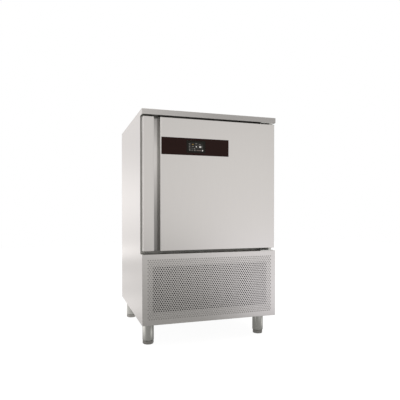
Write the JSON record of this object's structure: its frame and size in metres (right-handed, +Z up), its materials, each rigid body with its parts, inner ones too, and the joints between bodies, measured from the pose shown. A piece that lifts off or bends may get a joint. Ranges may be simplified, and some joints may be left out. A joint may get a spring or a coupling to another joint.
{
  "type": "blast chiller",
  "caption": "Upright insulated cabinet on adjustable feet, with a hinged door, tray runners, fans, evaporator and compressor compartment behind a perforated panel.",
  "frame": {"origin": "middle of the footprint at floor level, with the feet screwed fully in", "axes": "+Z up, +X to the right seen from the front, where the door is hinged, and -Y out of the front"},
  "size_m": [0.79, 0.8, 1.29],
  "materials": {
    "side_steel": "satin, fine brushed",
    "front_steel": "satin, fine brushed",
    "top_steel": "satin, fine brushed",
    "inner_steel": "satin",
    "galvanised_sheet": "spangled, matt",
    "rigid_foam": "matt, fine cells",
    "filter_foam": "matt, open cells",
    "rubber": "matt",
    "gasket_vinyl": "matt",
    "copper": "drawn tube",
    "valve_brass": "satin",
    "coil_aluminium": "mill finish",
    "black_paint": "semi-gloss",
    "fascia_gloss": "gloss",
    "display_glass": "gloss",
    "grey_plastic": "moulded, matt",
    "black_plastic": "moulded, matt",
    "white_nylon": "turned, matt",
    "leg_steel": "satin",
    "foot_steel": "satin",
    "screw_steel": "satin"
  },
  "bodies": {
    "cabinet": {"side_panel_left": "side_steel", "side_panel_right": "side_steel", "top_panel": "top_steel", "back_panel": "galvanised_sheet", "front_shelf": "front_steel", "front_grille_panel": "front_steel", "grille_backing_frame": "galvanised_sheet", "condenser_filter": "filter_foam", "rear_service_panel": "galvanised_sheet", "base_plate": "galvanised_sheet", "base_rails": "galvanised_sheet", "compartment_ceiling": "galvanised_sheet", "cabinet_insulation": "rigid_foam", "chamber_liner": "inner_steel", "front_frame": "grey_plastic", "hinge_bracket_top": "leg_steel", "hinge_bracket_bottom": "leg_steel", "hinge_screws": "screw_steel", "tray_rack_left": "inner_steel", "tray_rack_right": "inner_steel", "air_deflector": "inner_steel", "fan_guards": "screw_steel", "evaporator_fan_motors": "black_paint", "evaporator_fins": "coil_aluminium", "evaporator_return_bends": "copper", "chamber_drain": "grey_plastic", "probe_socket": "black_plastic", "compressor": "black_paint", "compressor_grommets": "rubber", "condenser_fins": "coil_aluminium", "condenser_return_bends": "copper", "condenser_shroud": "galvanised_sheet", "condenser_fan_motor": "black_paint", "liquid_receiver": "black_paint", "filter_drier": "copper", "expansion_valve": "valve_brass", "discharge_pipe": "copper", "liquid_pipe": "copper", "suction_pipe": "copper", "electrical_box": "galvanised_sheet", "electrical_cover": "galvanised_sheet", "cable_gland": "black_plastic", "rear_screws": "screw_steel", "leg_sleeves": "leg_steel"},
    "door": {"door_skin": "front_steel", "door_handle_strip": "front_steel", "door_handle_channel": "front_steel", "door_insulation": "rigid_foam", "door_inner_panel": "inner_steel", "door_gasket": "gasket_vinyl", "door_bushes": "white_nylon", "control_fascia": "fascia_gloss", "display_screen": "display_glass", "controller_housing": "grey_plastic"},
    "evaporator_fan_upper": {"evaporator_fan_upper": "black_plastic"},
    "evaporator_fan_lower": {"evaporator_fan_lower": "black_plastic"},
    "condenser_fan": {"condenser_fan": "black_plastic"},
    "foot_front_left": {"foot_front_left": "foot_steel"},
    "foot_front_right": {"foot_front_right": "foot_steel"},
    "foot_rear_left": {"foot_rear_left": "foot_steel"},
    "foot_rear_right": {"foot_rear_right": "foot_steel"}
  },
  "joints": [
    {"name": "door_hinge", "type": "hinge", "parent": "cabinet", "child": "door", "pos_m": [0.366, -0.38, 0.89], "axis": [0, 0, 1], "range_deg": [0, 110]},
    {"name": "evaporator_fan_upper_spin", "type": "hinge", "parent": "cabinet", "child": "evaporator_fan_upper", "pos_m": [0, 0.1, 1.054], "axis": [0, 1, 0], "continuous": true},
    {"name": "evaporator_fan_lower_spin", "type": "hinge", "parent": "cabinet", "child": "evaporator_fan_lower", "pos_m": [0, 0.1, 0.746], "axis": [0, 1, 0], "continuous": true},
    {"name": "condenser_fan_spin", "type": "hinge", "parent": "cabinet", "child": "condenser_fan", "pos_m": [-0.14, -0.2915, 0.3037], "axis": [0, 1, 0], "continuous": true},
    {"name": "foot_front_left_screw", "type": "slide", "parent": "cabinet", "child": "foot_front_left", "axis": [0, 0, -1], "range_m": [0, 0.04]},
    {"name": "foot_front_right_screw", "type": "slide", "parent": "cabinet", "child": "foot_front_right", "axis": [0, 0, -1], "range_m": [0, 0.04]},
    {"name": "foot_rear_left_screw", "type": "slide", "parent": "cabinet", "child": "foot_rear_left", "axis": [0, 0, -1], "range_m": [0, 0.04]},
    {"name": "foot_rear_right_screw", "type": "slide", "parent": "cabinet", "child": "foot_rear_right", "axis": [0, 0, -1], "range_m": [0, 0.04]}
  ]
}
